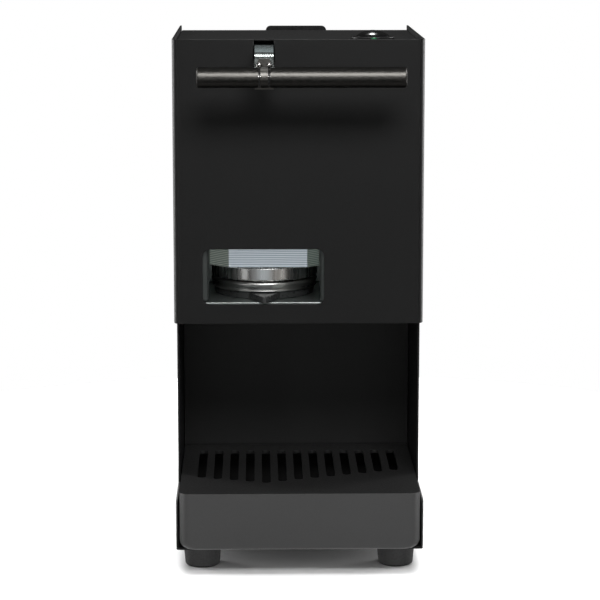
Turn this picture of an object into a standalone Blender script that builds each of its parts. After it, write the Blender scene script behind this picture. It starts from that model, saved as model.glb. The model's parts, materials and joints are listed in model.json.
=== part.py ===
"""A compact pod coffee machine in folded sheet steel, one named object for each piece.

All sizes are millimetres, in three directions: x is across the machine, depth is
measured back from the casing's front face, and z is the height above the table.
point() turns them into metres, with the origin on the table under the middle of
the machine, the front facing -Y and +Z up.
"""

import math

import bmesh
import bpy
from mathutils import Matrix, Vector

MM = 0.001
GAP = 0.3

# Sheet-metal body
SHEET = 1.2
CASING_HALF_WIDTH = 75.0
CASING_DEPTH = 157.0
CASING_BOTTOM = 144.5
RIM = 315.0
CASING_BEND = 4.5
TOP_PLATE = 312.2
TOP_PLATE_BACK = 151.8
FRAME_HALF_WIDTH = 73.5
FRAME_FRONT = 8.0
FRAME_BACK = 154.0
FRAME_TOP = 310.7
FOOT_FRAME_FRONT = -36.0
FOOT_FRAME_TOP = 45.0
REAR_FRAME_TOP = 57.0
PAN_BOTTOM = 14.3
PAN_BEND = 1.0
PAN_BACK = 234.0
RECESS_BACK = 87.0
PARTITION = 152.5
BACK = 236.0

# Coffee group, lever and press
GROUP_X = -20.5
GROUP_DEPTH = 45.0
GROUP_RADIUS = 32.5
CHAMBER_HALF_WIDTH = 36.5
CHAMBER_FLOOR = 157.0
LIP_REACH = (33.4, 38.0)
LIP_BEND = 1.8
SPLIT_Z = 168.0
BLOCK_BOTTOM = 176.5
BLOCK_TOP = 200.0
BOILER_TOP = 234.0
PIVOT_DEPTH = 40.0
PIVOT_Z = 292.0
PIN_RADIUS = 3.0
CRANK_RADIUS = 10.0
CRANK_ANGLE = math.radians(35.0)
CRANK_PIN_RADIUS = 2.5
ARM_HALF_WIDTH = 5.5
ARM_SHEET = 2.5
NOTCH_HALF_WIDTH = 6.2
NOTCH_BOTTOM = 301.0
SLOT_BACK = 52.0
WINDOW_X = (-57.6, 15.3)
WINDOW_Z = (156.4, 189.8)
WINDOW_CORNER = 4.5

# Bar handle
BAR_RADIUS = 6.0
BAR_DEPTH = -33.0
BAR_Z = 295.0
BAR_X = (-59.5, 61.8)
COLLAR_HALF_WIDTH = 2.2
WASHER = 0.8

# Drip tray and its slotted cover
COVER_HALF_WIDTH = 71.5
COVER_FRONT = -42.0
COVER_BACK = 85.0
COVER_TOP = 50.0
COVER_BOTTOM = 15.9
COVER_WALL = 1.6
COVER_PLATE = 2.0
COVER_BEND = 6.0
COVER_CORNER = 5.0
COVER_EDGE = 1.2
GRILLE_SLOTS = 13
SLOT_PITCH = 9.85
GRILLE_SLOT_WIDTH = 5.3
GRILLE_SLOT_BACK = 68.0
SLOT_APEX = 4
SLOT_APEX_DEPTH = -15.1
SLOT_STEP_LEFT = 3.3
SLOT_STEP_RIGHT = 3.8

# Water tank, lid and dock
TANK_HALF_WIDTH = 66.0
TANK_DEPTH = (158.5, 233.0)
TANK_BOTTOM = 58.8
TANK_TOP = 299.7
TANK_WALL = 2.0
TANK_CORNER = 8.0
HINGE_DEPTH = 229.5
HINGE_Z = 304.5
HINGE_RADIUS = 3.2
DOCK_X = 30.0
DOCK_DEPTH = 196.0

# Controls, pump and hoses
BUTTON_X = 46.5
BUTTON_DEPTH = 55.0
LAMP_X = 46.0
LAMP_DEPTH = 30.0
INLET_X = -45.0
ROCKER_X = 40.0
SOCKET_Z = 36.0
ROCKER_DEPTH = 231.0
PUMP_X = 20.0
PUMP_DEPTH = 121.0
HOSE_RADIUS = 2.5
FOOT_X = 58.4
FOOT_DEPTHS = (-15.0, 214.0)

MID_DEPTH = (COVER_FRONT + BACK) / 2
ARC_STEPS = 4
ROUND_STEPS = 28
GROUP_STEPS = 40

# Colour, roughness and metallic value of each finish.
FINISHES = {
    "black_powder_coat": ((0.014, 0.014, 0.014), 0.5, 0.0),
    "satin_metal": ((0.24, 0.23, 0.22), 0.36, 1.0),
    "zinc_plate": ((0.55, 0.58, 0.56), 0.38, 1.0),
    "bright_metal": ((0.78, 0.78, 0.78), 0.14, 1.0),
    "machined_aluminium": ((0.74, 0.75, 0.76), 0.27, 1.0),
    "black_plastic": ((0.012, 0.012, 0.012), 0.42, 0.0),
    "black_rubber": ((0.01, 0.01, 0.01), 0.75, 0.0),
    "smoke_plastic": ((0.05, 0.05, 0.055), 0.12, 0.0),
    "brass": ((0.72, 0.55, 0.28), 0.3, 1.0),
    "white_silicone": ((0.72, 0.72, 0.69), 0.5, 0.0),
    "red_silicone": ((0.42, 0.07, 0.04), 0.55, 0.0),
    "circuit_board": ((0.02, 0.14, 0.06), 0.4, 0.0),
    "green_lens": ((0.1, 0.75, 0.3), 0.2, 0.0),
}


def clear_scene():
    for item in list(bpy.data.objects):
        bpy.data.objects.remove(item, do_unlink=True)


def finish(name):
    """The material of this name, made once."""
    found = bpy.data.materials.get(name)
    if found:
        return found
    colour, roughness, metallic = FINISHES[name]
    made = bpy.data.materials.new(name)
    made.use_nodes = True
    shader = made.node_tree.nodes["Principled BSDF"]
    shader.inputs["Base Color"].default_value = (*colour, 1.0)
    shader.inputs["Roughness"].default_value = roughness
    shader.inputs["Metallic"].default_value = metallic
    made.diffuse_color = (*colour, 1.0)
    return made


def point(x, depth, z):
    return Vector((x, depth - MID_DEPTH, z)) * MM


def lifted(axis):
    """The function that places outline coordinates (u, v) at w along this axis."""
    return {
        "x": lambda u, v, w: point(w, u, v),
        "y": lambda u, v, w: point(u, w, v),
        "z": lambda u, v, w: point(u, v, w),
    }[axis]


def as_object(name, bm, look):
    """Turns a closed bmesh into an object, faces out, round faces smooth. A tool has no look."""
    bmesh.ops.recalc_face_normals(bm, faces=bm.faces[:])
    mesh = bpy.data.meshes.new(name)
    bm.to_mesh(mesh)
    bm.free()
    mesh.shade_smooth()
    mesh.set_sharp_from_angle(angle=math.radians(30))
    made = bpy.data.objects.new(name, mesh)
    bpy.context.scene.collection.objects.link(made)
    if look:
        mesh.materials.append(finish(look))
    return made


def rounded(corners, radii):
    """A closed outline whose corners are arcs. A radius of 0 keeps its corner sharp."""
    outline = []
    for index, (corner, radius) in enumerate(zip(corners, radii)):
        here = Vector(corner)
        if not radius:
            outline.append(corner)
            continue
        before = (Vector(corners[index - 1]) - here).normalized()
        after = (Vector(corners[(index + 1) % len(corners)]) - here).normalized()
        half = before.angle(after) / 2
        centre = here + (before + after).normalized() * (radius / math.sin(half))
        start = here + before * (radius / math.tan(half)) - centre
        end = here + after * (radius / math.tan(half)) - centre
        turn = math.atan2(start.x * end.y - start.y * end.x, start.dot(end))
        for step in range(ARC_STEPS + 1):
            arm = Matrix.Rotation(turn * step / ARC_STEPS, 2) @ start
            outline.append(tuple(centre + arm))
    return outline


def rectangle(u, v, radius=0.0):
    corners = [(u[0], v[0]), (u[1], v[0]), (u[1], v[1]), (u[0], v[1])]
    return rounded(corners, [radius] * 4)


def circle(u, v, radius, steps=ROUND_STEPS):
    angles = [2 * math.pi * step / steps for step in range(steps)]
    return [(u + radius * math.cos(a), v + radius * math.sin(a)) for a in angles]


def slab(name, look, axis, outline, span, holes=()):
    """A flat piece: an outline with holes, extruded along an axis over the span (low, high)."""
    place = lifted(axis)
    low, high = span
    bm = bmesh.new()
    for loop in (outline, *holes):
        verts = [bm.verts.new(place(u, v, low)) for u, v in loop]
        if not holes:
            bm.faces.new(verts)
            continue
        for first, second in zip(verts, verts[1:] + verts[:1]):
            bm.edges.new((first, second))
    if holes:
        bmesh.ops.triangle_fill(bm, use_beauty=True, edges=bm.edges[:])
    grown = bmesh.ops.extrude_face_region(bm, geom=bm.faces[:])["geom"]
    moved = [item for item in grown if isinstance(item, bmesh.types.BMVert)]
    bmesh.ops.translate(bm, verts=moved, vec=place(0, 0, high) - place(0, 0, low))
    return as_object(name, bm, look)


def box(name, look, x, depth, z):
    return slab(name, look, "z", rectangle(x, depth), z)


def loft(name, look, rings):
    """A closed skin over rings of points, capped at both ends."""
    bm = bmesh.new()
    loops = [[bm.verts.new(place) for place in ring] for ring in rings]
    for lower, upper in zip(loops, loops[1:]):
        for index in range(len(lower)):
            after = (index + 1) % len(lower)
            bm.faces.new((lower[index], lower[after], upper[after], upper[index]))
    bm.faces.new(loops[0])
    bm.faces.new(loops[-1])
    return as_object(name, bm, look)


def turned(name, look, axis, centre, profile, steps=ROUND_STEPS):
    """A turned piece. The profile is (radius, place along the axis): one that starts and
    ends on the axis is solid, and any other closes on itself as a ring."""
    place = lifted(axis)
    bm = bmesh.new()
    loops = []
    for radius, along in profile:
        if radius:
            places = [place(u, v, along) for u, v in circle(*centre, radius, steps)]
        else:
            places = [place(*centre, along)]
        loops.append([bm.verts.new(where) for where in places])
    on_axis = profile[0][0] == 0 and profile[-1][0] == 0
    following = loops[1:] if on_axis else loops[1:] + loops[:1]
    for lower, upper in zip(loops, following):
        for index in range(steps):
            after = (index + 1) % steps
            if len(lower) == 1 and len(upper) == 1:
                break
            if len(lower) == 1:
                bm.faces.new((lower[0], upper[after], upper[index]))
            elif len(upper) == 1:
                bm.faces.new((lower[index], lower[after], upper[0]))
            else:
                bm.faces.new((lower[index], lower[after], upper[after], upper[index]))
    return as_object(name, bm, look)


def rod(name, look, axis, centre, radius, span, steps=ROUND_STEPS):
    profile = [(0, span[0]), (radius, span[0]), (radius, span[1]), (0, span[1])]
    return turned(name, look, axis, centre, profile, steps)


def tube(name, look, axis, centre, inner, outer, span, steps=ROUND_STEPS):
    profile = [(outer, span[0]), (outer, span[1]), (inner, span[1]), (inner, span[0])]
    return turned(name, look, axis, centre, profile, steps)


def combine(piece, operation, *tools):
    """Applies a Boolean with each tool in turn, and removes the tool."""
    for tool in tools:
        change = piece.modifiers.new(operation.lower(), "BOOLEAN")
        change.operation = operation
        change.object = tool
        bpy.context.view_layer.update()
        graph = bpy.context.evaluated_depsgraph_get()
        result = bpy.data.meshes.new_from_object(piece.evaluated_get(graph))
        piece.modifiers.clear()
        piece.data = result
        bpy.data.objects.remove(tool, do_unlink=True)
    piece.data.shade_smooth()
    piece.data.set_sharp_from_angle(angle=math.radians(30))
    return piece


def cut(piece, *tools):
    return combine(piece, "DIFFERENCE", *tools)


def fuse(piece, *tools):
    return combine(piece, "UNION", *tools)


def smooth_route(stops, steps=3):
    """Points on a Catmull-Rom curve through the stops."""
    ends = [stops[0] * 2 - stops[1], *stops, stops[-1] * 2 - stops[-2]]
    route = []
    for a, b, c, d in zip(ends, ends[1:], ends[2:], ends[3:]):
        for step in range(steps):
            t = step / steps
            bend = 2 * a - 5 * b + 4 * c - d
            twist = 3 * (b - c) + d - a
            route.append((2 * b + (c - a) * t + bend * t**2 + twist * t**3) / 2)
    return [*route, stops[-1]]


def hose(name, look, stops):
    """A round hose with filled ends through the stops, each (x, depth, z)."""
    curve = bpy.data.curves.new(name, "CURVE")
    curve.dimensions = "3D"
    curve.bevel_depth = HOSE_RADIUS * MM
    curve.bevel_resolution = 2
    curve.use_fill_caps = True
    route = smooth_route([point(*stop) for stop in stops])
    spline = curve.splines.new("POLY")
    spline.points.add(len(route) - 1)
    for target, place in zip(spline.points, route):
        target.co = (*place, 1.0)
    made = bpy.data.objects.new(name, curve)
    bpy.context.scene.collection.objects.link(made)
    curve.materials.append(finish(look))
    return made


def joint(name, where, parent=None):
    """An empty on a joint's axis, which the moving pieces hang from."""
    empty = bpy.data.objects.new(name, None)
    empty.empty_display_size = 0.02
    empty.location = point(*where)
    bpy.context.scene.collection.objects.link(empty)
    if parent:
        carry(parent, where_of(parent), empty)
    return empty


def where_of(empty):
    """The world place of an empty, counting the empties above it."""
    place = Vector((0, 0, 0))
    while empty:
        place = place + empty.location + empty.matrix_parent_inverse.translation
        empty = empty.parent
    return place


def carry(empty, place, *pieces):
    for piece in pieces:
        piece.parent = empty
        piece.matrix_parent_inverse = Matrix.Translation(-place)


def ring_of(x, depth, z, radius):
    """A level ring of points on a rectangle with round corners."""
    return [point(u, v, z) for u, v in rectangle(x, depth, radius)]


def grown(span, by):
    return (span[0] - by, span[1] + by)


def across(half_width, centre=0.0):
    return (centre - half_width, centre + half_width)


# ---------------------------------------------------------------- body


def make_base():
    section = rectangle(across(FRAME_HALF_WIDTH), (PAN_BOTTOM, PAN_BOTTOM + SHEET))
    slab("base_pan", "black_powder_coat", "y", rounded(section, (PAN_BEND, PAN_BEND, 0, 0)),
         (FOOT_FRAME_FRONT, PAN_BACK - SHEET))
    frame_bottom = PAN_BOTTOM + SHEET + GAP
    corners = [
        (FOOT_FRAME_FRONT, frame_bottom), (PAN_BACK, frame_bottom), (PAN_BACK, REAR_FRAME_TOP),
        (FRAME_BACK, REAR_FRAME_TOP), (FRAME_BACK, FRAME_TOP), (FRAME_FRONT, FRAME_TOP),
        (FRAME_FRONT, FOOT_FRAME_TOP), (FOOT_FRAME_FRONT, FOOT_FRAME_TOP),
    ]
    outline = rounded(corners, (0, 0, 3, 0, 0, 0, 0, 2))
    inner = FRAME_HALF_WIDTH - SHEET
    slab("side_frame_left", "black_powder_coat", "x", outline, (-FRAME_HALF_WIDTH, -inner))
    slab("side_frame_right", "black_powder_coat", "x", outline, (inner, FRAME_HALF_WIDTH))
    shape = [(0, 0), (9.6, 0), (10.4, 0.8), (11.6, PAN_BOTTOM - GAP - 0.6),
             (11.0, PAN_BOTTOM - GAP), (0, PAN_BOTTOM - GAP)]
    foot = turned("foot_front_left", "black_rubber", "z", (0, MID_DEPTH), shape, 24)
    mesh = foot.data
    for row, depth in zip(("front", "rear"), FOOT_DEPTHS):
        for side, x in (("left", -FOOT_X), ("right", FOOT_X)):
            name = f"foot_{row}_{side}"
            if name != foot.name:
                foot = bpy.data.objects.new(name, mesh)
                bpy.context.scene.collection.objects.link(foot)
            foot.location = point(x, depth, 0)


def make_inner_sheets():
    inside = across(FRAME_HALF_WIDTH - SHEET - GAP)
    pan_top = PAN_BOTTOM + SHEET + GAP
    box("recess_back_panel", "black_powder_coat", inside,
        (RECESS_BACK, RECESS_BACK + SHEET), (pan_top, 150.0))
    suction_hole = circle(25.0, 24.0, 5.0, 16)
    wiring_hole = circle(-30.0, 30.0, 6.0, 16)
    slab("rear_partition", "black_powder_coat", "y",
         rectangle(inside, (pan_top, FRAME_TOP - GAP)),
         (PARTITION, PARTITION + SHEET), [suction_hole, wiring_hole])
    socket_hole = rectangle(across(13.7, INLET_X), across(10.2, SOCKET_Z), 2.0)
    rocker_hole = rectangle(across(9.7, ROCKER_X), across(6.7, SOCKET_Z))
    slab("rear_panel", "black_powder_coat", "y",
         rectangle(inside, (pan_top, REAR_FRAME_TOP - GAP)),
         (PAN_BACK - SHEET + GAP, PAN_BACK + GAP), [socket_hole, rocker_hole])
    slab("tank_shelf", "black_powder_coat", "z",
         rectangle(across(FRAME_HALF_WIDTH), (FRAME_BACK + GAP, PAN_BACK)),
         (REAR_FRAME_TOP + GAP, REAR_FRAME_TOP + GAP + SHEET),
         [circle(DOCK_X, DOCK_DEPTH, 10.5)])
    slab("head_floor", "black_powder_coat", "z",
         rectangle(inside, (SHEET + GAP, RECESS_BACK - GAP), CASING_BEND - SHEET),
         (CASING_BOTTOM + 1.1, CASING_BOTTOM + 1.1 + SHEET),
         [circle(GROUP_X, GROUP_DEPTH, 8.0)])


def make_casing():
    outer = CASING_HALF_WIDTH
    inner = outer - SHEET
    plan = rounded(
        [(-outer, CASING_DEPTH), (-outer, 0), (outer, 0), (outer, CASING_DEPTH),
         (inner, CASING_DEPTH), (inner, SHEET), (-inner, SHEET), (-inner, CASING_DEPTH)],
        (0, CASING_BEND, CASING_BEND, 0, 0, CASING_BEND - SHEET, CASING_BEND - SHEET, 0))
    casing = slab("front_casing", "black_powder_coat", "z", plan, (CASING_BOTTOM, RIM))
    window = slab("window", None, "y", rectangle(WINDOW_X, WINDOW_Z, WINDOW_CORNER), (-3, 6))
    notch = box("notch", None, across(NOTCH_HALF_WIDTH, GROUP_X), (-3, 6),
                (NOTCH_BOTTOM, RIM + 3))
    cut(casing, window, notch)

    left, right = across(inner - 0.4)
    slot_left, slot_right = across(NOTCH_HALF_WIDTH, GROUP_X)
    front = SHEET + GAP
    plate = [(left, front), (slot_left, front), (slot_left, SLOT_BACK),
             (slot_right, SLOT_BACK), (slot_right, front), (right, front),
             (right, TOP_PLATE_BACK), (left, TOP_PLATE_BACK)]
    corner = CASING_BEND - SHEET
    plate = rounded(plate, (corner, 0, 0, 0, 0, corner, 0, 0))
    slab("top_plate", "black_powder_coat", "z", plate, (TOP_PLATE - SHEET, TOP_PLATE),
         [circle(BUTTON_X, BUTTON_DEPTH, 11.9), circle(LAMP_X, LAMP_DEPTH, 2.3, 16)])


# ---------------------------------------------------------------- fixed coffee group


def make_chamber():
    outline = rounded(
        [(3, CASING_BOTTOM + 2.6), (82, CASING_BOTTOM + 2.6), (82, 205), (58, 302),
         (28, 302), (3, 215)], (0, 0, 6, 6, 6, 6))
    pin_hole = circle(PIVOT_DEPTH, PIVOT_Z, PIN_RADIUS + GAP)
    for side, sign in (("left", -1), ("right", 1)):
        faces = sorted(GROUP_X + sign * reach
                       for reach in (CHAMBER_HALF_WIDTH, CHAMBER_HALF_WIDTH + 2.2))
        plate = slab(f"group_frame_{side}", "zinc_plate", "x", outline, faces, [pin_hole])
        lip = sorted(GROUP_X + sign * reach for reach in LIP_REACH)
        corners = [(lip[0], 5.4), (lip[1], 5.4), (lip[1], 3.0), (lip[0], 3.0)]
        radii = (0, 0, 0, LIP_BEND) if sign == 1 else (0, 0, LIP_BEND, 0)
        fuse(plate, slab("lip", None, "z", rounded(corners, radii), (158.2, 214.0)))
    between = across(CHAMBER_HALF_WIDTH - GAP, GROUP_X)
    slab("group_floor", "zinc_plate", "z", rectangle(between, (3, 84)),
         (CHAMBER_FLOOR - 1.4, CHAMBER_FLOOR), [circle(GROUP_X, GROUP_DEPTH, 23.5)])
    box("group_back_plate", "zinc_plate", between, (79.5, 81.5), (CHAMBER_FLOOR + GAP, 205))
    rod("lever_pivot_pin", "bright_metal", "x", (PIVOT_DEPTH, PIVOT_Z), PIN_RADIUS,
        across(41.5, GROUP_X), 20)


def make_pod_seat():
    centre = (GROUP_X, GROUP_DEPTH)
    top, bottom = SPLIT_Z - 0.5, 161.6
    shape = [(24.5, top), (GROUP_RADIUS - 1.3, top), (GROUP_RADIUS - 0.4, top - 0.4),
             (GROUP_RADIUS, top - 1.3),
             (GROUP_RADIUS, bottom + 0.6), (GROUP_RADIUS - 0.6, bottom), (16, bottom),
             (16, 163), (24.5, 163)]
    turned("pod_seat", "bright_metal", "z", centre, shape, GROUP_STEPS)
    holes = [circle(GROUP_X, GROUP_DEPTH, 1.2, 8)]
    for count, reach in ((4, 6.0), (8, 12.0)):
        spots = circle(GROUP_X, GROUP_DEPTH, reach, count)
        holes += [circle(u, v, 1.2, 8) for u, v in spots]
    slab("lower_filter", "bright_metal", "z", circle(*centre, 24.0), (163.3, 164.3), holes)

    funnel = turned("spout_funnel", "black_plastic", "z", centre, [
        (31, 161.3), (30.4, CHAMBER_FLOOR + GAP), (23, CHAMBER_FLOOR + GAP), (22.5, 155),
        (7, 149), (6, 139.5), (3.5, 139.5), (3.5, 150), (21, 157.5), (28.5, 158.5),
        (29, 161.3)])
    wedge = rounded([(GROUP_X - 9.6, 16.3), (GROUP_X, -4.2), (GROUP_X + 9.6, 16.3)],
                    (0, 1.8, 0))
    nose = slab("nose", None, "z", wedge, (CHAMBER_FLOOR + GAP + 0.1, 161.0))
    fuse(funnel, nose)


# ---------------------------------------------------------------- lever


def strip(path, radius):
    """The outline of a bent strip that follows a path of (depth, z) stops at its middle."""
    half = ARM_SHEET / 2
    stops = [Vector(stop) for stop in path]
    sides = ([], [])
    for index, stop in enumerate(stops):
        ahead = (stops[min(index + 1, len(stops) - 1)] - stop)
        behind = (stop - stops[max(index - 1, 0)])
        ahead = (ahead if ahead.length else behind).normalized()
        behind = (behind if behind.length else ahead).normalized()
        normal = (Vector((-ahead.y, ahead.x)) + Vector((-behind.y, behind.x))).normalized()
        reach = half / normal.dot(Vector((-ahead.y, ahead.x)))
        sides[0].append(tuple(stop + normal * reach))
        sides[1].append(tuple(stop - normal * reach))
    ends = (0, len(stops) - 1)
    radii = [0 if index in ends else radius for index in range(len(stops))]
    outside = [r + half if r else 0 for r in radii]
    inside = [max(r - half, 0) for r in radii]
    return rounded(sides[0] + sides[1][::-1], inside + outside[::-1])


def crank_place():
    return (PIVOT_DEPTH - CRANK_RADIUS * math.cos(CRANK_ANGLE),
            PIVOT_Z - CRANK_RADIUS * math.sin(CRANK_ANGLE))


def make_lever(pivot):
    face = -20.8 - ARM_SHEET / 2
    path = [(PIVOT_DEPTH - 2, PIVOT_Z + 2), (4.5, 310.2), (face, 307.4), (face, 287.3)]
    arm = slab("lever_arm", "zinc_plate", "x", strip(path, 1.6),
               across(ARM_HALF_WIDTH, GROUP_X))
    crank = crank_place()
    hub = rod("hub", None, "x", (PIVOT_DEPTH, PIVOT_Z), 7.5, across(6.2, GROUP_X))
    lobe = rod("lobe", None, "x", crank, 4.8, across(6.0, GROUP_X), 24)
    bore = rod("bore", None, "x", (PIVOT_DEPTH, PIVOT_Z), PIN_RADIUS + GAP,
               across(9, GROUP_X), 20)
    eye = rod("eye", None, "x", crank, CRANK_PIN_RADIUS + 0.2, across(9, GROUP_X), 20)
    fuse(arm, hub, lobe)
    cut(arm, bore, eye)
    pin = rod("crank_pin", "bright_metal", "x", crank, CRANK_PIN_RADIUS,
              across(12, GROUP_X), 20)

    flange = (face - ARM_SHEET / 2 - GAP - 1.3, face - ARM_SHEET / 2 - GAP)
    centre = (BAR_DEPTH, BAR_Z)
    shape = [(-ARM_HALF_WIDTH, 287.3), (ARM_HALF_WIDTH, 287.3), (ARM_HALF_WIDTH, 299.5),
             (3.0, 305.4), (-3.0, 305.4), (-ARM_HALF_WIDTH, 299.5)]
    bracket = slab("handle_bracket", "satin_metal", "y",
                   [(GROUP_X + x, z) for x, z in shape], flange)
    neck = box("neck", None, across(COLLAR_HALF_WIDTH - 0.2, GROUP_X),
               (BAR_DEPTH, flange[0] + 0.5), across(4.0, BAR_Z))
    ring = rod("ring", None, "x", centre, BAR_RADIUS, across(COLLAR_HALF_WIDTH, GROUP_X))
    rod_hole = rod("rod_hole", None, "x", centre, 2.3, across(6, GROUP_X), 16)
    fuse(bracket, neck, ring)
    cut(bracket, rod_hole)

    pieces = [arm, pin, bracket]
    pieces.append(rod("handle_rod", "bright_metal", "x", centre, 2.0, (-50, 52), 16))
    for side, sign, end in (("left", -1, BAR_X[0]), ("right", 1, BAR_X[1])):
        start = GROUP_X + sign * (COLLAR_HALF_WIDTH + 0.2)
        faces = sorted((start, start + sign * WASHER))
        pieces.append(tube(f"handle_washer_{side}", "black_rubber", "x", centre, 2.3,
                           BAR_RADIUS - 0.15, faces))
        start += sign * (WASHER + 0.2)
        blind = end - sign * 6
        pieces.append(turned(f"handle_tube_{side}", "satin_metal", "x", centre, [
            (0, blind), (2.3, blind), (2.3, start), (BAR_RADIUS, start),
            (BAR_RADIUS, end - sign * 0.7), (BAR_RADIUS - 0.7, end), (0, end)]))
        pieces.append(turned(f"handle_rivet_{side}", "bright_metal", "y",
                             (GROUP_X + sign * 2.9, 301.3), [
            (0, flange[0] - 1.3), (0.9, flange[0] - 1.15), (1.6, flange[0] - 0.6),
            (1.7, flange[0] - 0.2), (0, flange[0] - 0.2)], 16))
    carry(pivot, where_of(pivot), *pieces)


# ---------------------------------------------------------------- press, boiler and piston


def make_press(lift):
    centre = (GROUP_X, GROUP_DEPTH)
    left, right = across(33.25, GROUP_X)
    front, back = 15.0, 75.0
    chamfer_left, chamfer_right = 11.6, 7.2
    plan = [(left + chamfer_left, front), (right - chamfer_right, front),
            (right, front + chamfer_right), (right, back), (left, back),
            (left, front + chamfer_left)]
    pieces = [slab("group_block", "machined_aluminium", "z", plan, (BLOCK_BOTTOM, BLOCK_TOP))]

    bottom, top = SPLIT_Z + 0.3, BLOCK_BOTTOM - GAP
    pieces.append(turned("piston_head", "bright_metal", "z", centre, [
        (0, top), (GROUP_RADIUS - 0.5, top), (GROUP_RADIUS, top - 0.5),
        (GROUP_RADIUS, bottom + 0.6), (GROUP_RADIUS - 0.6, bottom), (20, bottom),
        (20, 166.9), (0, 166.9)], GROUP_STEPS))
    pieces.append(tube("piston_seal", "red_silicone", "z", centre, 20.3, 24.0,
                       (166.2, 168.0)))
    holes = [circle(*centre, 0.9, 8)]
    holes += [circle(u, v, 0.9, 8) for u, v in circle(*centre, 9.0, 8)]
    pieces.append(slab("shower_screen", "bright_metal", "z", circle(*centre, 19.5),
                       (165.4, 166.6), holes))
    pieces.append(turned("boiler", "brass", "z", centre, [
        (0, BLOCK_TOP + GAP), (28, BLOCK_TOP + GAP), (28, BOILER_TOP - 3),
        (27.1, BOILER_TOP - 0.9), (25, BOILER_TOP), (0, BOILER_TOP)]))

    foot = BOILER_TOP + GAP
    crank_z = crank_place()[1]
    reach, gap, wall = 12.0, 6.7, 3.0
    section = [(-reach, foot), (reach, foot), (reach, foot + wall)]
    for side in (1, -1):
        cheek = [(side * (gap + wall), foot + wall), (side * (gap + wall), crank_z + 7),
                 (side * gap, crank_z + 7), (side * gap, foot + wall)]
        section += cheek if side == 1 else cheek[::-1]
    section.append((-reach, foot + wall))
    outline = [(GROUP_X + u, z) for u, z in section]
    yoke = slab("press_yoke", "zinc_plate", "y", outline, (20, 56))
    clear = box("clear", None, across(20, GROUP_X), (36.3, 60), (foot + wall + 4, 300))
    slot = box("slot", None, across(20, GROUP_X), (27.0, 40),
               across(CRANK_PIN_RADIUS + 0.45, crank_z))
    pieces.append(cut(yoke, clear, slot))

    pieces.append(turned("thermostat", "bright_metal", "z", (GROUP_X + 19, 50), [
        (0, foot), (6, foot), (6, foot + 3), (4.5, foot + 3.6), (4.5, foot + 7),
        (0, foot + 7)], 20))
    for side, depth in (("front", 38), ("rear", 52)):
        pieces.append(box(f"heater_terminal_{side}", "zinc_plate",
                          across(0.8, GROUP_X - 19), across(3.1, depth), (foot, foot + 10)))
    back = GROUP_DEPTH + 28 + GAP
    pieces.append(turned("inlet_fitting", "brass", "y", (GROUP_X, 222), [
        (0, back), (5, back), (5, back + 4), (3.2, back + 4), (3.2, back + 9.6),
        (0, back + 9.6)], 12))
    pieces.append(hose("pressure_hose", "white_silicone", [
        (GROUP_X, back + 9.9, 222), (GROUP_X, 94, 222), (-15, 109, 216), (0, 120, 197),
        (14, 122.5, 170), (PUMP_X, PUMP_DEPTH, 148), (PUMP_X, PUMP_DEPTH, 134.4)]))
    carry(lift, where_of(lift), *pieces)


# ---------------------------------------------------------------- drip tray


def cover_ring(depth, inset):
    """The cover's cross-section at a depth, with its sides drawn in by the inset."""
    into = depth - COVER_FRONT
    lift = 0.0
    if into < COVER_EDGE:
        lift = COVER_EDGE - math.sqrt(COVER_EDGE**2 - (COVER_EDGE - into) ** 2)
    half = COVER_HALF_WIDTH - inset
    corners = [(-half, COVER_TOP), (-half, COVER_BOTTOM + lift),
               (half, COVER_BOTTOM + lift), (half, COVER_TOP)]
    outline = rounded(corners, (0, COVER_CORNER, COVER_CORNER, 0))
    return [point(x, depth, z) for x, z in outline]


def make_tray(slide, lift):
    rings = []
    for step in range(7):
        angle = math.radians(15 * step)
        depth = COVER_FRONT + COVER_BEND * (1 - math.cos(angle))
        rings.append(cover_ring(depth, COVER_BEND * (1 - math.sin(angle))))
    rings.append(cover_ring(COVER_BACK, 0))
    cover = loft("drip_cover", "black_powder_coat", rings)
    hollow = slab("hollow", None, "z",
                  rectangle(across(COVER_HALF_WIDTH - COVER_WALL),
                            grown((COVER_FRONT, COVER_BACK), -COVER_WALL), 4.4),
                  (COVER_BOTTOM - 4, COVER_TOP - COVER_PLATE))
    cut(cover, hollow)
    radius = GRILLE_SLOT_WIDTH / 2
    for index in range(GRILLE_SLOTS):
        x = SLOT_PITCH * (index - (GRILLE_SLOTS - 1) / 2)
        away = index - SLOT_APEX
        step = SLOT_STEP_RIGHT if away > 0 else -SLOT_STEP_LEFT
        front = SLOT_APEX_DEPTH + step * away
        outline = rectangle(across(radius, x), (front, GRILLE_SLOT_BACK), radius - 0.01)
        cut(cover, slab("slot", None, "z", outline, (COVER_TOP - 5, COVER_TOP + 3)))
    carry(lift, where_of(lift), cover)

    x = across(COVER_HALF_WIDTH - COVER_WALL - 0.7)
    depth = grown((COVER_FRONT, COVER_BACK), -COVER_WALL - 0.6)
    floor, rim, wall = PAN_BOTTOM + SHEET + 0.5, 44.5, 1.8
    tray = loft("drip_tray", "black_plastic", [
        ring_of(grown(x, -2), grown(depth, -2), floor, 3.0),
        ring_of(x, depth, floor + 2, 4.0),
        ring_of(x, depth, rim, 4.0),
        ring_of(grown(x, -wall), grown(depth, -wall), rim, 2.5),
        ring_of(grown(x, -wall), grown(depth, -wall), floor + 4, 2.5),
        ring_of(grown(x, -wall - 2), grown(depth, -wall - 2), floor + wall, 1.5),
    ])
    carry(slide, where_of(slide), tray)


# ---------------------------------------------------------------- water tank


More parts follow.
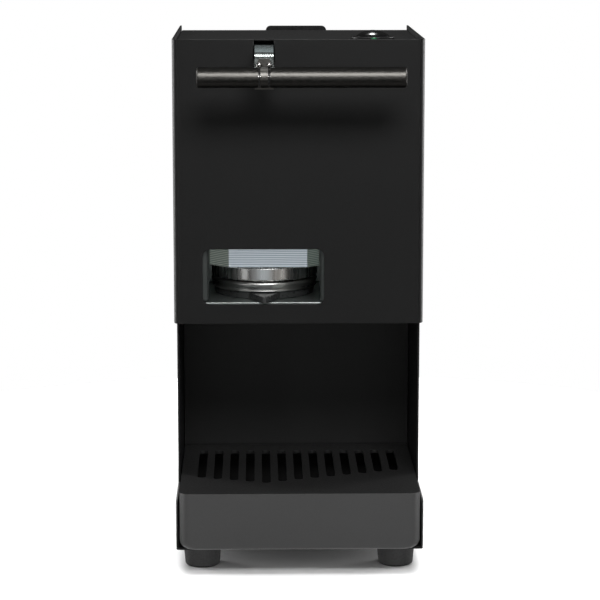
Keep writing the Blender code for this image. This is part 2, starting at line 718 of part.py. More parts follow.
def make_tank(lift, valve_lift, hinge):
    x, depth = across(TANK_HALF_WIDTH), TANK_DEPTH
    tank = loft("water_tank", "smoke_plastic", [
        ring_of(grown(x, -2), grown(depth, -2), TANK_BOTTOM, TANK_CORNER - 2),
        ring_of(x, depth, TANK_BOTTOM + 2, TANK_CORNER),
        ring_of(x, depth, TANK_TOP, TANK_CORNER),
        ring_of(grown(x, -TANK_WALL), grown(depth, -TANK_WALL), TANK_TOP, 6.0),
        ring_of(grown(x, -TANK_WALL), grown(depth, -TANK_WALL), TANK_BOTTOM + 5, 6.0),
        ring_of(grown(x, -TANK_WALL - 2), grown(depth, -TANK_WALL - 2), TANK_BOTTOM + 2.5, 4.0),
    ])
    ear_span = (20.6, 26.0)
    for sign in (-1, 1):
        faces = sorted(sign * reach for reach in ear_span)
        root = box("ear_root", None, faces, (HINGE_DEPTH - HINGE_RADIUS, 232.7),
                   (292.0, HINGE_Z))
        tip = rod("ear_tip", None, "x", (HINGE_DEPTH, HINGE_Z), HINGE_RADIUS, faces, 20)
        fuse(root, tip)
        fuse(tank, root)
    pin_hole = rod("pin_hole", None, "x", (HINGE_DEPTH, HINGE_Z), 1.7, (-30, 30), 12)
    spout = rod("spout", None, "z", (DOCK_X, DOCK_DEPTH), 9.0, (53.0, TANK_BOTTOM + 1))
    bore = rod("bore", None, "z", (DOCK_X, DOCK_DEPTH), 4.0, (50.0, 64.0), 20)
    fuse(tank, spout)
    cut(tank, pin_hole, bore)
    pin = rod("lid_hinge_pin", "bright_metal", "x", (HINGE_DEPTH, HINGE_Z), 1.5,
              across(ear_span[1]), 12)
    carry(lift, where_of(lift), tank, pin)

    valve = turned("tank_valve", "white_silicone", "z", (DOCK_X, DOCK_DEPTH), [
        (0, 53.9), (2.4, 53.9), (2.4, 61.6), (7, 61.6), (7, 63.2), (3, 64.6), (0, 64.6)], 20)
    carry(valve_lift, where_of(valve_lift), valve)

    plate_z = (TANK_TOP + 0.6, TANK_TOP + 3.1)
    left, right = x
    front, back = depth[0], HINGE_DEPTH + 1.5
    notch_in, notch_out, notch_front = 20.2, 26.4, HINGE_DEPTH - HINGE_RADIUS - 0.5
    corners = [(left, front), (right, front), (right, back), (notch_out, back),
               (notch_out, notch_front), (notch_in, notch_front), (notch_in, back),
               (-notch_in, back), (-notch_in, notch_front), (-notch_out, notch_front),
               (-notch_out, back), (left, back)]
    radii = (TANK_CORNER, TANK_CORNER, 3, 0, 0, 0, 0, 0, 0, 0, 0, 3)
    lid = slab("tank_lid", "black_plastic", "z", rounded(corners, radii), plate_z)
    knuckle = rod("knuckle", None, "x", (HINGE_DEPTH, HINGE_Z), HINGE_RADIUS,
                  across(notch_in - 0.1), 20)
    hole = rod("hole", None, "x", (HINGE_DEPTH, HINGE_Z), 1.8, (-30, 30), 12)
    skirt = slab("skirt", None, "z", rectangle(across(63.4), (161.2, 223.0), 5.0),
                 (plate_z[0] - 2.8, plate_z[0] + 0.4),
                 [rectangle(across(61.9), (162.7, 221.5), 3.5)])
    tab = rounded([(-21.4, plate_z[0] + 1), (23.4, plate_z[0] + 1), (20.4, 314.5),
                   (-18.0, 314.5)], (0, 0, 3.0, 3.0))
    grip = slab("grip", None, "y", tab, (160.0, 163.0))
    fuse(lid, knuckle, skirt, grip)
    cut(lid, hole)
    carry(hinge, where_of(hinge), lid)


# ---------------------------------------------------------------- water path and electrics


def make_water_path():
    turned("tank_dock", "black_plastic", "z", (DOCK_X, DOCK_DEPTH), [
        (0, 53.6), (2.0, 53.6), (2.0, 51.5), (9.6, 51.5), (9.6, 57.0), (15, 57.0),
        (15, 46.5), (2.6, 46.5), (2.6, 38.0), (0, 38.0)])
    hose("suction_hose", "white_silicone", [
        (DOCK_X, DOCK_DEPTH, 37.7), (DOCK_X, DOCK_DEPTH, 34), (DOCK_X, 192.5, 28),
        (28.5, 182, 24), (26.5, 166, 23.5), (25, 153.1, 24), (22.5, 137, 24.5),
        (20.5, 125.5, 30), (PUMP_X, PUMP_DEPTH, 39), (PUMP_X, PUMP_DEPTH, 43.6)])
    pump = turned("pump_body", "black_plastic", "z", (PUMP_X, PUMP_DEPTH), [
        (0, 44), (2.8, 44), (2.8, 54), (9, 54), (9, 116), (7, 121), (2.8, 121),
        (2.8, 134.1), (0, 134.1)], 24)
    coil = slab("coil", None, "z",
                rectangle(across(21, PUMP_X), across(19, PUMP_DEPTH), 4.0), (60, 106))
    fuse(pump, coil)
    low = PAN_BOTTOM + SHEET + GAP
    left, right, top, wall = PUMP_X - 23, PUMP_X + 23, 92.0, 1.5
    slab("pump_bracket", "zinc_plate", "y",
         [(left, low), (right, low), (right, top), (right - wall, top),
          (right - wall, low + wall), (left + wall, low + wall), (left + wall, top),
          (left, top)], across(13, PUMP_DEPTH))


def make_electrics():
    board = box("control_board", "circuit_board", (-62, -12), (91.0, 92.6), (40, 112))
    for x, back, z in (((-58, -44), 108, (84, 106)), ((-39, -17), 113, (78, 106)),
                       ((-58, -20), 104, (45, 57))):
        fuse(board, box("block", None, x, (91.8, back), z))

    inlet = slab("power_inlet", "black_plastic", "y",
                 rectangle(across(16, INLET_X), across(12.4, SOCKET_Z), 3.0),
                 (PAN_BACK + 2 * GAP, BACK))
    body = slab("body", None, "y",
                rectangle(across(13.3, INLET_X), across(9.8, SOCKET_Z), 2.0),
                (212, BACK - 1))
    socket = slab("socket", None, "y",
                  rectangle(across(11.6, INLET_X), across(7.9, SOCKET_Z), 2.0),
                  (219, BACK + 3))
    fuse(inlet, body)
    cut(inlet, socket)
    for x, z in ((-7, -2), (0, 2), (7, -2)):
        fuse(inlet, box("blade", None, across(1.0, INLET_X + x), (217, 233),
                        across(2.0, SOCKET_Z + z)))

    frame = slab("rocker_frame", "black_plastic", "y",
                 rectangle(across(11, ROCKER_X), across(8, SOCKET_Z), 1.5),
                 (PAN_BACK + 2 * GAP, BACK - 0.4))
    can = box("can", None, across(9.3, ROCKER_X), (220, BACK - 1), across(6.3, SOCKET_Z))
    well = box("well", None, across(8.2, ROCKER_X), (225.5, BACK + 3), across(5.1, SOCKET_Z))
    fuse(frame, can)
    cut(frame, well)


def make_controls(press, rock):
    centre = (BUTTON_X, BUTTON_DEPTH)
    flange = TOP_PLATE + GAP
    turned("button_bezel", "black_plastic", "z", centre, [
        (0, 292), (11.6, 292), (11.6, flange), (13.25, flange), (13.25, flange + 0.8),
        (12.8, flange + 1.3), (10.8, flange + 1.3), (10.4, flange + 0.9), (10.4, 300),
        (0, 300)])
    turned("indicator_lamp", "green_lens", "z", (LAMP_X, LAMP_DEPTH), [
        (0, 303), (2, 303), (2, 313.1), (1.7, 313.7), (1.0, 314.15), (0, 314.3)], 16)
    button = turned("brew_button", "black_plastic", "z", centre, [
        (0, 301.8), (10.1, 301.8), (10.1, 314.4), (9.4, 315.4), (7.6, 316.4),
        (5.2, 317.1), (2.6, 317.4), (0, 317.5)])
    carry(press, where_of(press), button)
    low, high = ROCKER_DEPTH - 2.5, BACK - 0.5
    outline = [(low, SOCKET_Z - 3.2), (high, SOCKET_Z - 3.9), (high - 0.9, SOCKET_Z),
               (high, SOCKET_Z + 3.9), (low, SOCKET_Z + 3.2)]
    rocker = slab("power_rocker", "black_plastic", "x", outline, across(7.8, ROCKER_X))
    carry(rock, where_of(rock), rocker)


def main():
    clear_scene()
    lever_swing = joint("lever_swing", (GROUP_X, PIVOT_DEPTH, PIVOT_Z))
    press_lift = joint("press_lift", (GROUP_X, GROUP_DEPTH, SPLIT_Z))
    tray_slide = joint("tray_slide", (0, COVER_FRONT, PAN_BOTTOM + SHEET))
    cover_lift = joint("cover_lift", (0, COVER_FRONT, COVER_TOP), tray_slide)
    tank_lift = joint("tank_lift", (DOCK_X, DOCK_DEPTH, TANK_BOTTOM))
    valve_lift = joint("valve_lift", (DOCK_X, DOCK_DEPTH, 61.6), tank_lift)
    lid_hinge = joint("lid_hinge", (0, HINGE_DEPTH, HINGE_Z), tank_lift)
    button_press = joint("button_press", (BUTTON_X, BUTTON_DEPTH, TOP_PLATE))
    rocker_tilt = joint("rocker_tilt", (ROCKER_X, ROCKER_DEPTH, SOCKET_Z))

    make_base()
    make_inner_sheets()
    make_casing()
    make_chamber()
    make_pod_seat()
    make_lever(lever_swing)
    make_press(press_lift)
    make_tray(tray_slide, cover_lift)
    make_tank(tank_lift, valve_lift, lid_hinge)
    make_water_path()
    make_electrics()
    make_controls(button_press, rocker_tilt)


main()
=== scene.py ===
"""Looks of the pod coffee machine: finer meshes, materials, studio and camera.

All lengths are metres unless a name ends in _MM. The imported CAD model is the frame, and
every piece here is placed from it. The front faces -Y and +Z is up.
"""

import json
import math

import bmesh
import bpy
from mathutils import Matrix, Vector

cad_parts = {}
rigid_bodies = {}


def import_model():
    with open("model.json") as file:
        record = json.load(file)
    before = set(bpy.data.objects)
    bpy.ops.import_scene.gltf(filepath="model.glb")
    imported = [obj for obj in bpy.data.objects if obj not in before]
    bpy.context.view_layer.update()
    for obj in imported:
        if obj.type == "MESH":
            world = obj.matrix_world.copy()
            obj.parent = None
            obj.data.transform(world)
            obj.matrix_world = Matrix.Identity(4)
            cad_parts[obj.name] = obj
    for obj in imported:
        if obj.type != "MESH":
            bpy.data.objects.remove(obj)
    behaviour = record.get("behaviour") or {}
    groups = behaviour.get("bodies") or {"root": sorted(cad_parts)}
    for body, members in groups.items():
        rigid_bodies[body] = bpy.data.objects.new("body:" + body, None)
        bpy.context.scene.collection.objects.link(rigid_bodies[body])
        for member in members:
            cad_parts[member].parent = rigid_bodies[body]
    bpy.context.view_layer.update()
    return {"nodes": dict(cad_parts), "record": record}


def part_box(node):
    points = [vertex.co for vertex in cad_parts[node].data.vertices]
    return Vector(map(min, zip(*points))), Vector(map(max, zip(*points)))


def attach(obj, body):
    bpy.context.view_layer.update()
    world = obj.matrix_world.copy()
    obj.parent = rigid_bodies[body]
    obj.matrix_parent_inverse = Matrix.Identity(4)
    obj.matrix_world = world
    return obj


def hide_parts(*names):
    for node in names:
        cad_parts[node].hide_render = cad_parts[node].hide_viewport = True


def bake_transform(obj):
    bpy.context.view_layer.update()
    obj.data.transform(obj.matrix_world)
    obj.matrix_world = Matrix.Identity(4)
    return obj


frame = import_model()
nodes = frame["nodes"]
body_of = {
    node: body for body, members in frame["record"]["behaviour"]["bodies"].items()
    for node in members
}

MM = 0.001
SKIN = "_skin"
WELD = 0.00001
FLAT_ANGLE = math.radians(0.5)
SHARP_ANGLE = math.radians(32)
EDGE_SEGMENTS = 3
LATHE_STEPS = 160

CAMERA_PLACE = (-0.0249, -1.4601, 0.3945)
CAMERA_PITCH = math.radians(9.8)
CAMERA_YAW = math.radians(1.08)
CAMERA_LENS_MM = 138.1

TABLE_RADIUS = 0.45
SURROUND_RADIUS = 40
WORLD_FILL = 0.03
BOX_SPREAD = math.radians(120)
# The distance between the bands of a wave texture whose scale is 1.
WAVE_BAND = 0.314
CUTTER_PITCH = 0.0011

EDGE = 0.3 * MM
EDGES = {"drip_cover": 0.4 * MM, "handle_tube_left": 0.12 * MM,
         "handle_tube_right": 0.12 * MM, "handle_washer_left": 0.1 * MM,
         "handle_washer_right": 0.1 * MM, "button_bezel": 0.15 * MM}
SEAT_BORE = 24.5
DRAIN_BORE = 16.0
SEAT_FLOOR = 1.4
SEAT_ROUND = 1.6
BUTTON_DOME = 3.2
GLOW_REACH = 0.0018


# ---------------------------------------------------------------- node helpers


def new_material(name, colour, roughness, metallic=0.0, **settings):
    """A Principled material. Settings are shader sockets, with _ for a space."""
    made = bpy.data.materials.new(name)
    made.use_nodes = True
    sockets = made.node_tree.nodes["Principled BSDF"].inputs
    sockets["Base Color"].default_value = (*colour, 1.0)
    sockets["Roughness"].default_value = roughness
    sockets["Metallic"].default_value = metallic
    for socket, value in settings.items():
        sockets[socket.replace("_", " ")].default_value = value
    made.diffuse_color = (*colour, 1.0)
    return made


def add_node(material, kind, **settings):
    made = material.node_tree.nodes.new(kind)
    for socket, value in settings.items():
        made.inputs[socket.replace("_", " ")].default_value = value
    return made


def place_of(material, stretch):
    """The piece's own coordinates in metres, stretched along each axis."""
    coordinates = add_node(material, "ShaderNodeTexCoord")
    mapping = add_node(material, "ShaderNodeMapping", Scale=stretch)
    material.node_tree.links.new(coordinates.outputs["Object"], mapping.inputs["Vector"])
    return mapping.outputs["Vector"]


def noise(material, scale, stretch=(1, 1, 1), detail=2.0):
    """A cloudy value from 0 to 1, with this many features a metre."""
    made = add_node(material, "ShaderNodeTexNoise", Scale=scale, Detail=detail)
    material.node_tree.links.new(place_of(material, stretch), made.inputs["Vector"])
    return made.outputs["Fac"]


def cutter_lines(material, pitch):
    """Level ridges from 0 to 1, this many metres apart, that waver a little."""
    made = add_node(material, "ShaderNodeTexWave", Scale=WAVE_BAND / pitch, Distortion=2.2,
                    Detail=3.0, Detail_Scale=0.35)
    made.bands_direction = "Z"
    material.node_tree.links.new(place_of(material, (0.25, 0.25, 1)), made.inputs["Vector"])
    return made.outputs["Fac"]


def spread(material, value, low, high, start=0.3, end=0.7):
    """The value stretched from the range start to end onto the range low to high."""
    made = add_node(material, "ShaderNodeMapRange", From_Min=start, From_Max=end,
                    To_Min=low, To_Max=high)
    material.node_tree.links.new(value, made.inputs["Value"])
    return made.outputs["Result"]


def drive(material, socket, value):
    shader = material.node_tree.nodes["Principled BSDF"]
    material.node_tree.links.new(value, shader.inputs[socket])


def tint(material, value, dark, light):
    """Base colour that runs between two colours with the value."""
    mix = material.node_tree.nodes.new("ShaderNodeMix")
    mix.data_type = "RGBA"
    mix.inputs[6].default_value = (*dark, 1.0)
    mix.inputs[7].default_value = (*light, 1.0)
    material.node_tree.links.new(value, mix.inputs["Factor"])
    drive(material, "Base Color", mix.outputs[2])


def relief(material, value, height, strength=1.0):
    """Adds bumps of this height in metres on top of those already there."""
    shader = material.node_tree.nodes["Principled BSDF"]
    bump = add_node(material, "ShaderNodeBump", Distance=height, Strength=strength)
    links = material.node_tree.links
    links.new(value, bump.inputs["Height"])
    if shader.inputs["Normal"].is_linked:
        links.new(shader.inputs["Normal"].links[0].from_socket, bump.inputs["Normal"])
    links.new(bump.outputs["Normal"], shader.inputs["Normal"])


# ---------------------------------------------------------------- materials


def powder_coat(name="powder_coat", shade=0.0105):
    """Matt black polyester powder: a fine orange peel with a trace of dust."""
    made = new_material(name, (shade, shade, shade), 0.48)
    tint(made, noise(made, 9, detail=3), (0.9 * shade,) * 3, (1.1 * shade,) * 3)
    drive(made, "Roughness", spread(made, noise(made, 700), 0.44, 0.54))
    relief(made, noise(made, 1100, detail=1), 0.00003, 0.5)
    return made


def satin_metal(name="satin_metal", shade=0.075):
    """Satin bar stock with a granular, slightly lengthwise grain."""
    made = new_material(name, (shade, 0.96 * shade, 0.91 * shade), 0.42, 1.0)
    grain = noise(made, 1300, (0.35, 1, 1), 3)
    tint(made, grain, (0.6 * shade, 0.58 * shade, 0.54 * shade),
         (1.5 * shade, 1.45 * shade, 1.36 * shade))
    drive(made, "Roughness", spread(made, grain, 0.31, 0.44))
    relief(made, grain, 0.00006, 0.7)
    return made


def zinc_plate(name="zinc_plate", shade=0.5, roughness=0.36):
    """Zinc plate, a little green, with the cloudy grain of rolled sheet."""
    made = new_material(name, (shade, 1.1 * shade, 1.06 * shade), roughness, 1.0)
    tint(made, noise(made, 90, detail=4), (0.84 * shade, 0.94 * shade, 0.92 * shade),
         (1.16 * shade, 1.24 * shade, 1.2 * shade))
    drive(made, "Roughness", spread(made, noise(made, 400), roughness - 0.08,
                                    roughness + 0.08))
    relief(made, noise(made, 900, (0.15, 1, 1)), 0.00002, 0.5)
    return made


def bright_metal():
    made = new_material("bright_metal", (0.80, 0.79, 0.77), 0.12, 1.0)
    drive(made, "Roughness", spread(made, noise(made, 250), 0.09, 0.17))
    relief(made, noise(made, 500, (0.3, 0.3, 4)), 0.000004, 0.5)
    return made


def ground_steel():
    """The piston: ground steel whose streaks run up and down, their light and dark colour
    partly a painted reflection of bands of light, their roughness and bumps the grinding's
    grain.
    """
    made = new_material("ground_steel", (0.62, 0.62, 0.61), 0.26, 1.0)
    streaks = noise(made, 420, (1, 1, 0.03), 3)
    # Painted reflection in part: the streaks' light and dark colour stands in for reflected
    # bands as well as the grinding's own tone.
    tint(made, streaks, (0.40, 0.40, 0.40), (0.84, 0.84, 0.82))
    drive(made, "Roughness", spread(made, streaks, 0.20, 0.36))
    relief(made, streaks, 0.00002, 0.6)
    return made


def turned_steel():
    """The pod seat: dull turned steel with fine level tool marks."""
    made = new_material("turned_steel", (0.36, 0.36, 0.35), 0.26, 1.0)
    marks = noise(made, 900, (0.05, 0.05, 1), 2)
    tint(made, marks, (0.27, 0.27, 0.27), (0.46, 0.46, 0.44))
    drive(made, "Roughness", spread(made, marks, 0.24, 0.38))
    relief(made, marks, 0.00003, 0.5)
    return made


def machined_aluminium():
    """Milled faces with the cutter's fine level lines."""
    made = new_material("machined_aluminium", (0.86, 0.88, 0.90), 0.36, 1.0)
    lines = cutter_lines(made, CUTTER_PITCH)
    tint(made, lines, (0.34, 0.40, 0.46), (0.96, 0.98, 1.0))
    drive(made, "Roughness", spread(made, lines, 0.44, 0.56))
    relief(made, lines, 0.00004, 1.0)
    return made


def black_plastic():
    made = new_material("black_plastic", (0.012, 0.012, 0.012), 0.38)
    drive(made, "Roughness", spread(made, noise(made, 500), 0.32, 0.46))
    relief(made, noise(made, 2200, detail=1), 0.00001, 0.4)
    return made


def gloss_plastic():
    made = new_material("gloss_plastic", (0.010, 0.010, 0.010), 0.16)
    drive(made, "Roughness", spread(made, noise(made, 350), 0.12, 0.22))
    relief(made, noise(made, 1500, detail=1), 0.000004, 0.4)
    return made


def spout_plastic():
    """Satin plastic for the spout, dark grey rather than black: the lighter tone paints in
    the light on the spout's nose.
    """
    # Painted light: this grey is lighter than the black plastic so that the nose's top shows
    # lit.
    made = new_material("spout_plastic", (0.030, 0.031, 0.031), 0.30)
    tint(made, noise(made, 120), (0.026, 0.027, 0.027), (0.034, 0.035, 0.035))
    drive(made, "Roughness", spread(made, noise(made, 500), 0.25, 0.38))
    relief(made, noise(made, 1500, detail=1), 0.00001, 0.4)
    return made


def black_rubber():
    made = new_material("black_rubber", (0.012, 0.012, 0.012), 0.7)
    tint(made, noise(made, 60), (0.010, 0.010, 0.010), (0.018, 0.018, 0.018))
    drive(made, "Roughness", spread(made, noise(made, 900), 0.6, 0.78))
    relief(made, noise(made, 1600), 0.00003, 0.5)
    return made


def smoke_plastic():
    made = new_material("smoke_plastic", (0.10, 0.10, 0.11), 0.12, Transmission_Weight=0.5,
                        IOR=1.49)
    drive(made, "Roughness", spread(made, noise(made, 120), 0.08, 0.18))
    relief(made, noise(made, 25), 0.0001, 0.15)
    return made


def brass():
    made = new_material("brass", (0.70, 0.52, 0.26), 0.28, 1.0)
    tint(made, noise(made, 60, detail=4), (0.60, 0.42, 0.20), (0.76, 0.60, 0.32))
    drive(made, "Roughness", spread(made, noise(made, 400), 0.22, 0.38))
    relief(made, noise(made, 900, (0.2, 0.2, 3)), 0.00001, 0.5)
    return made


def white_silicone():
    made = new_material("white_silicone", (0.70, 0.70, 0.67), 0.45, Subsurface_Weight=0.1)
    drive(made, "Roughness", spread(made, noise(made, 300), 0.38, 0.55))
    tint(made, noise(made, 40), (0.62, 0.62, 0.59), (0.74, 0.74, 0.71))
    return made


def red_silicone():
    made = new_material("red_silicone", (0.42, 0.07, 0.04), 0.5)
    tint(made, noise(made, 80), (0.36, 0.055, 0.03), (0.46, 0.08, 0.05))
    drive(made, "Roughness", spread(made, noise(made, 500), 0.42, 0.6))
    return made


def circuit_board():
    made = new_material("circuit_board", (0.02, 0.14, 0.06), 0.35)
    tint(made, noise(made, 500, (1, 1, 0.2)), (0.015, 0.10, 0.045), (0.03, 0.20, 0.08))
    drive(made, "Roughness", spread(made, noise(made, 200), 0.28, 0.42))
    return made


def green_lens():
    """A clear green lens that glows, dark green at its edge and white in a small spot at the
    middle of its top.
    """
    made = new_material("green_lens", (0.02, 0.20, 0.08), 0.12, Emission_Strength=1.0)
    low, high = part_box("indicator_lamp")
    place = add_node(made, "ShaderNodeTexCoord")
    centre = [(low[i] + high[i]) / 2 for i in (0, 1)]
    mapping = add_node(made, "ShaderNodeMapping", Location=(*centre, high[2]),
                       Scale=(GLOW_REACH, GLOW_REACH, GLOW_REACH))
    mapping.vector_type = "TEXTURE"
    glow = add_node(made, "ShaderNodeTexGradient")
    glow.gradient_type = "SPHERICAL"
    ramp = add_node(made, "ShaderNodeValToRGB")
    ramp.color_ramp.elements[0].color = (0.0, 0.03, 0.008, 1)
    ramp.color_ramp.elements[1].color = (0.75, 1.0, 0.85, 1)
    middle = ramp.color_ramp.elements.new(0.5)
    middle.color = (0.01, 0.13, 0.05, 1)
    links = made.node_tree.links
    links.new(place.outputs["Object"], mapping.inputs["Vector"])
    links.new(mapping.outputs["Vector"], glow.inputs["Vector"])
    links.new(glow.outputs["Fac"], ramp.inputs["Fac"])
    drive(made, "Emission Color", ramp.outputs["Color"])
    tint(made, noise(made, 300), (0.008, 0.08, 0.03), (0.015, 0.13, 0.05))
    return made


LOOKS = {
    made.__name__: made() for made in (
        powder_coat, satin_metal, zinc_plate, bright_metal, machined_aluminium,
        black_plastic, black_rubber, smoke_plastic, brass, white_silicone, red_silicone,
        circuit_board, green_lens)
}


# The group frames in the window: zinc plate made rougher, and darker than the rest of the
# zinc to paint in the shade inside the window.
ROUGH_SHADED_ZINC = zinc_plate("dull_zinc", 0.16, 0.5)
SPECIAL_LOOKS = {
    # Painted light: the tray wears the casing's black powder coat made lighter, standing in
    # for the brighter light that the tray gets from the floor.
    "drip_cover": powder_coat("tray_coat", 0.017),
    "pod_seat": turned_steel(),
    "piston_head": ground_steel(),
    "spout_funnel": spout_plastic(),
    "brew_button": gloss_plastic(),
    "lever_arm": zinc_plate("lever_zinc", 0.5, 0.26),
    "handle_bracket": satin_metal("bracket_metal", 0.11),
    "group_frame_left": ROUGH_SHADED_ZINC,
    "group_frame_right": ROUGH_SHADED_ZINC,
}


def look_of(node):
    return SPECIAL_LOOKS.get(node, LOOKS[slot_of(node)])


def slot_of(node):
    return nodes[node].data.materials[0].name.split(".")[0]


# ---------------------------------------------------------------- finer copies of the CAD


def finer(node, edge, blended=None):
    """Shows a welded copy of a CAD node in its place, with its sharp edges rounded.

    A copy given heights to blend between keeps its edges unrounded and rides with no body;
    the heights are not used.
    """
    bm = bmesh.new()
    bm.from_mesh(nodes[node].data)
    bmesh.ops.remove_doubles(bm, verts=bm.verts[:], dist=WELD)
    bmesh.ops.dissolve_limit(bm, angle_limit=FLAT_ANGLE, verts=bm.verts[:], edges=bm.edges[:])
    mesh = bpy.data.meshes.new(node + SKIN)
    bm.to_mesh(mesh)
    bm.free()
    if "custom_normal" in mesh.attributes:
        mesh.attributes.remove(mesh.attributes["custom_normal"])
    mesh.shade_smooth()
    mesh.set_sharp_from_angle(angle=SHARP_ANGLE)
    piece = bpy.data.objects.new(node + SKIN, mesh)
    bpy.context.scene.collection.objects.link(piece)
    mesh.materials.clear()
    mesh.materials.append(look_of(node))
    if blended:
        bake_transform(piece)
        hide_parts(node)
        return
    bevel = piece.modifiers.new("edge", "BEVEL")
    bevel.width = edge
    bevel.segments = EDGE_SEGMENTS
    bevel.limit_method = "ANGLE"
    bevel.angle_limit = SHARP_ANGLE
    bevel.harden_normals = True
    bevel.miter_outer = "MITER_ARC"
    settle(piece, node)


def arc(centre, radius, start_degrees, end_degrees, steps=8):
    """Points of a round corner of a profile, as (distance from the axis, height)."""
    turn = math.radians(end_degrees - start_degrees) / steps
    angles = [math.radians(start_degrees) + turn * step for step in range(steps + 1)]
    return [(centre[0] + radius * math.cos(a), centre[1] + radius * math.sin(a))
            for a in angles]


def lathe(node, profile, steps=LATHE_STEPS):
    """Shows an upright turned piece in a CAD node's place.

    The profile runs round the section and closes on itself. Its points are in
    millimetres, as (distance from the axis, height above the node's lowest point).
    """
    low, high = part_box(node)
    middle = (low + high) / 2
    bm = bmesh.new()
    rings = []
    for radius, height in profile:
        ring = []
        for step in range(steps):
            angle = 2 * math.pi * step / steps
            ring.append(bm.verts.new((middle.x + MM * radius * math.cos(angle),
                                      middle.y + MM * radius * math.sin(angle),
                                      low.z + MM * height)))
        rings.append(ring)
    for ring, after in zip(rings, rings[1:] + rings[:1]):
        for step in range(steps):
            following = (step + 1) % steps
            bm.faces.new((ring[step], ring[following], after[following], after[step]))
    bmesh.ops.remove_doubles(bm, verts=bm.verts[:], dist=WELD)
    bmesh.ops.recalc_face_normals(bm, faces=bm.faces[:])
    mesh = bpy.data.meshes.new(node + SKIN)
    bm.to_mesh(mesh)
    bm.free()
    mesh.shade_smooth()
    mesh.set_sharp_from_angle(angle=SHARP_ANGLE)
    mesh.materials.append(look_of(node))
    piece = bpy.data.objects.new(node + SKIN, mesh)
    bpy.context.scene.collection.objects.link(piece)
    settle(piece, node)


def settle(piece, node):
    """Makes a piece ride with a CAD node's body, in its place."""
    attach(piece, body_of[node])
    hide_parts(node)


# ---------------------------------------------------------------- pieces with their own mesh


def make_pod_seat():
    """The turned seat: a rounded rim, a wall that leans in, and a bead at its foot."""
    low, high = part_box("pod_seat")
    outer = (high.x - low.x) / 2 / MM
    tall = (high.z - low.z) / MM
    profile = [(SEAT_BORE, tall)]
    profile += arc((outer - SEAT_ROUND, tall - SEAT_ROUND), SEAT_ROUND, 90, 0)
    profile += [(outer, tall - 2.0), (outer - 0.25, tall - 2.15), (outer - 0.9, 1.25)]
    profile += arc((outer - 1.0, 0.5), 0.5, 70, -90)
    profile += [(DRAIN_BORE, 0), (DRAIN_BORE, SEAT_FLOOR), (SEAT_BORE, SEAT_FLOOR)]
    lathe("pod_seat", profile)


def make_button():
    """A low round dome whose side goes down through the bezel."""
    low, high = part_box("brew_button")
    outer = (high.x - low.x) / 2 / MM
    tall = (high.z - low.z) / MM
    side = tall - BUTTON_DOME
    bend = (outer ** 2 + BUTTON_DOME ** 2) / (2 * BUTTON_DOME)
    reach = math.degrees(math.asin(outer / bend))
    dome = arc((0, tall - bend), bend, 90, 90 - 0.93 * reach, 24)
    lathe("brew_button", [(0, 0), (0, tall)] + dome[1:] + [(outer, side - 0.4), (outer, 0)])


def make_pressure_hose():
    """The braided hose, copied in place on no body: it does not give as the press lifts."""
    low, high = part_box("pressure_hose")
    finer("pressure_hose", EDGE, blended=(low.z, high.z))


# ---------------------------------------------------------------- studio


def make_camera():
    lens = bpy.data.cameras.new("camera")
    lens.lens = CAMERA_LENS_MM
    lens.clip_start = 0.05
    lens.clip_end = 100
    camera = bpy.data.objects.new("camera", lens)
    camera.location = CAMERA_PLACE
    camera.rotation_euler = (math.radians(90) - CAMERA_PITCH, 0, -CAMERA_YAW)
    bpy.context.scene.collection.objects.link(camera)
    bpy.context.scene.camera = camera


def area_light(name, place, target, size, power):
    light = bpy.data.lights.new(name, "AREA")
    light.shape = "RECTANGLE"
    light.size, light.size_y = size
    light.energy = power
    light.spread = BOX_SPREAD
    lamp = bpy.data.objects.new(name, light)
    lamp.location = place
    aim = Vector(target) - Vector(place)
    lamp.rotation_euler = aim.to_track_quat("-Z", "Y").to_euler()
    lamp.visible_camera = False
    bpy.context.scene.collection.objects.link(lamp)
    return lamp


def disc(name, inner, outer, look, steps=96):
    """A level ring of the floor, or a disc where the inner radius is 0."""
    bm = bmesh.new()
    rings = []
    for radius in (outer, inner):
        if radius:
            angles = [2 * math.pi * step / steps for step in range(steps)]
            rings.append([bm.verts.new((radius * math.cos(a), radius * math.sin(a), 0))
                          for a in angles])
    if inner:
        for index in range(steps):
            after = (index + 1) % steps
            bm.faces.new((rings[0][index], rings[0][after], rings[1][after], rings[1][index]))
    else:
        bm.faces.new(rings[0])
    mesh = bpy.data.meshes.new(name)
    bm.to_mesh(mesh)
    bm.free()
    mesh.materials.append(look)
    made = bpy.data.objects.new(name, mesh)
    bpy.context.scene.collection.objects.link(made)
    return made


def make_stage():
    table = new_material("table", (0.9, 0.9, 0.9), 0.9, Specular_IOR_Level=0.0)
    table_top = disc("table_top", 0, TABLE_RADIUS, table)
    table_top.visible_glossy = False
    backdrop = new_material("backdrop", (0, 0, 0), 1.0, Specular_IOR_Level=0.0,
                            Emission_Strength=1.0, Emission_Color=(1, 1, 1, 1))
    surround = disc("surround", TABLE_RADIUS, SURROUND_RADIUS, backdrop)
    surround.visible_diffuse = False
    surround.visible_glossy = False
    surround.visible_transmission = False

    world = bpy.data.worlds.new("studio")
    bpy.context.scene.world = world
    world.use_nodes = True
    tree = world.node_tree
    tree.nodes.clear()
    output = tree.nodes.new("ShaderNodeOutputWorld")
    mix = tree.nodes.new("ShaderNodeMixShader")
    path = tree.nodes.new("ShaderNodeLightPath")
    for socket, level in ((1, WORLD_FILL), (2, 1.0)):
        sky = tree.nodes.new("ShaderNodeBackground")
        sky.inputs["Color"].default_value = (1, 1, 1, 1)
        sky.inputs["Strength"].default_value = level
        tree.links.new(sky.outputs[0], mix.inputs[socket])
    tree.links.new(path.outputs["Is Camera Ray"], mix.inputs[0])
    tree.links.new(mix.outputs[0], output.inputs["Surface"])


